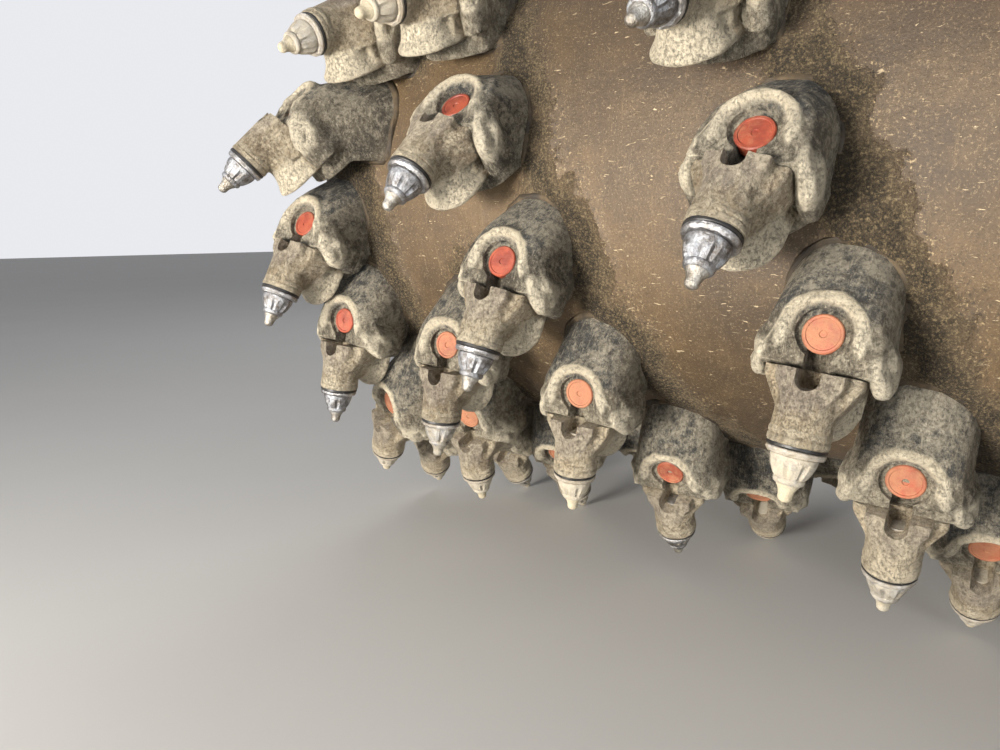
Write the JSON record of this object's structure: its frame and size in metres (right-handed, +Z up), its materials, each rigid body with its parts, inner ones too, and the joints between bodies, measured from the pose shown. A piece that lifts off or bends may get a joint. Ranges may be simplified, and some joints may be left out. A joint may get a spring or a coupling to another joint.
{
  "type": "milling drum",
  "caption": "Road milling drum: welded tube with helical flights of toolholders and picks, edge tools, ejector paddles, a fixed gear flange and a bearing journal.",
  "frame": {"origin": "on the drum axis, at the outer face of the drive flange that bolts to the machine", "axes": "+X forwards in the driving direction, +Y along the drum axis to the machine's left, +Z up"},
  "size_m": [0.9878, 2.14, 0.9868],
  "materials": {
    "tube_steel": "scoured, dusty",
    "base_steel": "forged, dusty",
    "holder_steel": "forged, worn",
    "plate_steel": "polished by wear",
    "pick_steel": "bright, worn",
    "carbide": "ground by use",
    "plug_plastic": "matt",
    "paddle_steel": "scoured",
    "machined_steel": "machined",
    "gear_paint": "satin paint"
  },
  "bodies": {
    "root": {"drive_flange": "machined_steel", "gear_case": "gear_paint", "bearing_journal": "machined_steel"},
    "drum": {"drum_tube": "tube_steel", "drive_end_ring": "tube_steel", "bearing_end_plate": "tube_steel", "output_flange": "machined_steel", "bearing_hub": "machined_steel", "ejector_brackets": "tube_steel", "ejector_paddles": "paddle_steel", "bases_left_a": "base_steel", "holders_left_a": "holder_steel", "bases_left_b": "base_steel", "holders_left_b": "holder_steel", "bases_left_c": "base_steel", "holders_left_c": "holder_steel", "edge_segments_left": "base_steel", "edge_holders_left": "holder_steel", "lock_plugs_left": "plug_plastic", "wear_plates_left": "plate_steel", "picks_left": "pick_steel", "carbide_tips_left": "carbide", "bases_right_a": "base_steel", "holders_right_a": "holder_steel", "bases_right_b": "base_steel", "holders_right_b": "holder_steel", "bases_right_c": "base_steel", "holders_right_c": "holder_steel", "edge_segments_right": "base_steel", "edge_holders_right": "holder_steel", "lock_plugs_right": "plug_plastic", "wear_plates_right": "plate_steel", "picks_right": "pick_steel", "carbide_tips_right": "carbide"},
    "input": {"input_shaft": "machined_steel"}
  },
  "joints": [
    {"name": "drum_spin", "type": "hinge", "parent": "root", "child": "drum", "pos_m": [0, 1.04, 0], "axis": [0, 1, 0], "continuous": true},
    {"name": "input_turn", "type": "hinge", "parent": "root", "child": "input", "pos_m": [0, 0, 0], "axis": [0, 1, 0], "continuous": true}
  ],
  "couplings": [
    {"joint": "input_turn", "follows": "drum_spin", "ratio": -20}
  ]
}
